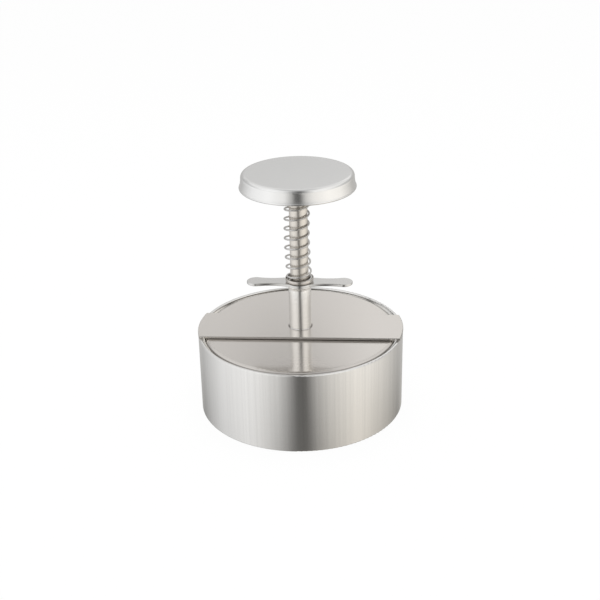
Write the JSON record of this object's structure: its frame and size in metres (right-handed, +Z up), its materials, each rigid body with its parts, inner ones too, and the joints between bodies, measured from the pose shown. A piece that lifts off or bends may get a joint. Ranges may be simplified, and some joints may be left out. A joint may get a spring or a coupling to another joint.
{
  "type": "burger press",
  "caption": "Stainless hand burger press: an open mould ring with a flat bridge, a sprung plunger in a guide tube, a finger wing and a round palm cap.",
  "frame": {"origin": "on the axis of the ring, in the plane that the ring stands on", "axes": "+Z up along the plunger, X along the bridge bar and the finger wing, Y across them"},
  "size_m": [0.1144, 0.1142, 0.1365],
  "materials": {
    "brushed_steel": "brushed round the ring",
    "sheet_steel": "fine straight brush, half mirror",
    "satin_steel": "satin",
    "polished_steel": "polished",
    "spring_wire": "drawn wire",
    "plain_steel": "turned"
  },
  "bodies": {
    "press_frame": {"mould_ring": "brushed_steel", "bridge_bar": "sheet_steel", "guide_tube": "polished_steel", "finger_wing": "polished_steel", "spring_cup": "polished_steel", "coil_spring": "spring_wire"},
    "spring_carriage": {"spring_washer": "plain_steel"},
    "plunger": {"plunger_rod": "polished_steel", "palm_cap": "satin_steel", "cap_boss": "plain_steel", "press_plate": "sheet_steel", "plate_screw": "plain_steel"}
  },
  "joints": [
    {"name": "plunger_slide", "type": "slide", "parent": "press_frame", "child": "spring_carriage", "axis": [0, 0, 1], "range_m": [-0.04, 0], "stiffness_N_per_m": 1000, "springref_m": 0.012, "deforming": ["coil_spring"]},
    {"name": "plunger_spin", "type": "hinge", "parent": "spring_carriage", "child": "plunger", "pos_m": [0, 0, 0.1296], "axis": [0, 0, 1], "continuous": true}
  ]
}
